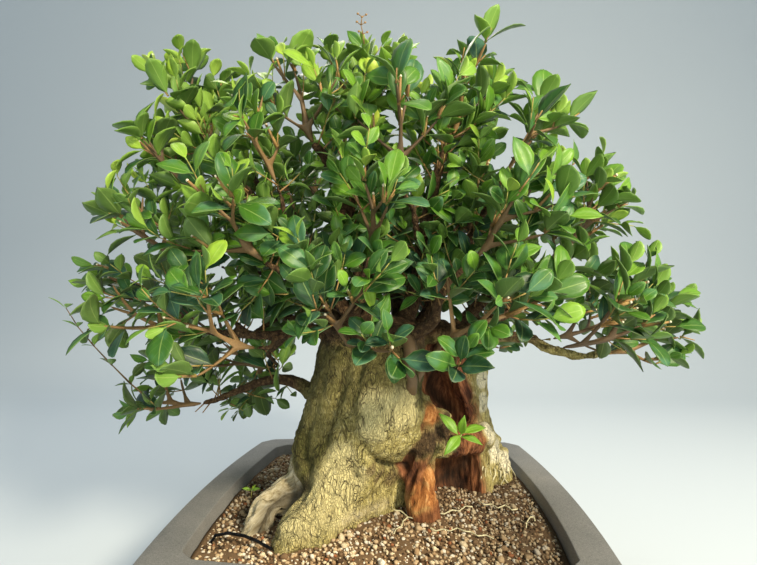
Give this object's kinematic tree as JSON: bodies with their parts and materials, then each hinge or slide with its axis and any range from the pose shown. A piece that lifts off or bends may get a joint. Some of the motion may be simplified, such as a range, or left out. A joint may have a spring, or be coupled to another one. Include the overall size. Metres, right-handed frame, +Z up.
{
  "type": "privet bonsai",
  "caption": "Privet bonsai: an old hollow stump with flared roots, crooked limbs and a broad dome of small oval leaves, in a square pot of grit soil.",
  "frame": {"origin": "middle of the pot's footprint on the table", "axes": "+Z up, +X along the dome's longest spread to the viewer's right, -Y to the front"},
  "size_m": [0.5673, 0.332, 0.5093],
  "materials": {
    "pot": "matt brown-grey unglazed pot, faintly speckled",
    "drain_plate": "matt dark moulded plate",
    "soil": "rough loose grit, tan, brown and dark grains",
    "wood": "pale olive-yellow bark, red-brown and grey bare dead wood, darker limbs",
    "wire": "dark coated soft wire",
    "leaves": "half-glossy green leaves on green-brown twigs"
  },
  "bodies": {
    "root": {"base_shoot": "leaves", "drain_plate_left": "drain_plate", "drain_plate_right": "drain_plate", "pot": "pot", "soil": "soil", "spray_inner_1": "leaves", "spray_inner_2": "leaves", "spray_inner_3": "leaves", "spray_inner_4": "leaves", "spray_inner_5": "leaves", "spray_left_low_inner": "leaves", "spray_left_low_tip": "leaves", "spray_left_shoulder": "leaves", "spray_left_tip": "leaves", "spray_right_tip": "leaves", "spray_row1_01": "leaves", "spray_row1_02": "leaves", "spray_row1_03": "leaves", "spray_row1_04": "leaves", "spray_row1_05": "leaves", "spray_row1_06": "leaves", "spray_row1_07": "leaves", "spray_row1_08": "leaves", "spray_row1_09": "leaves", "spray_row1_10": "leaves", "spray_row2_01": "leaves", "spray_row2_02": "leaves", "spray_row2_03": "leaves", "spray_row2_04": "leaves", "spray_row2_05": "leaves", "spray_row2_06": "leaves", "spray_row2_07": "leaves", "spray_row2_08": "leaves", "spray_row2_09": "leaves", "spray_row2_10": "leaves", "spray_row3_01": "leaves", "spray_row3_02": "leaves", "spray_row3_03": "leaves", "spray_row3_04": "leaves", "spray_row3_05": "leaves", "spray_row3_06": "leaves", "spray_row3_07": "leaves", "spray_row3_08": "leaves", "spray_row4_01": "leaves", "spray_row4_02": "leaves", "spray_row4_03": "leaves", "spray_row4_04": "leaves", "spray_row4_05": "leaves", "spray_top": "leaves", "tie_wire_end": "wire", "trunk_and_limbs": "wood"}
  },
  "joints": []
}
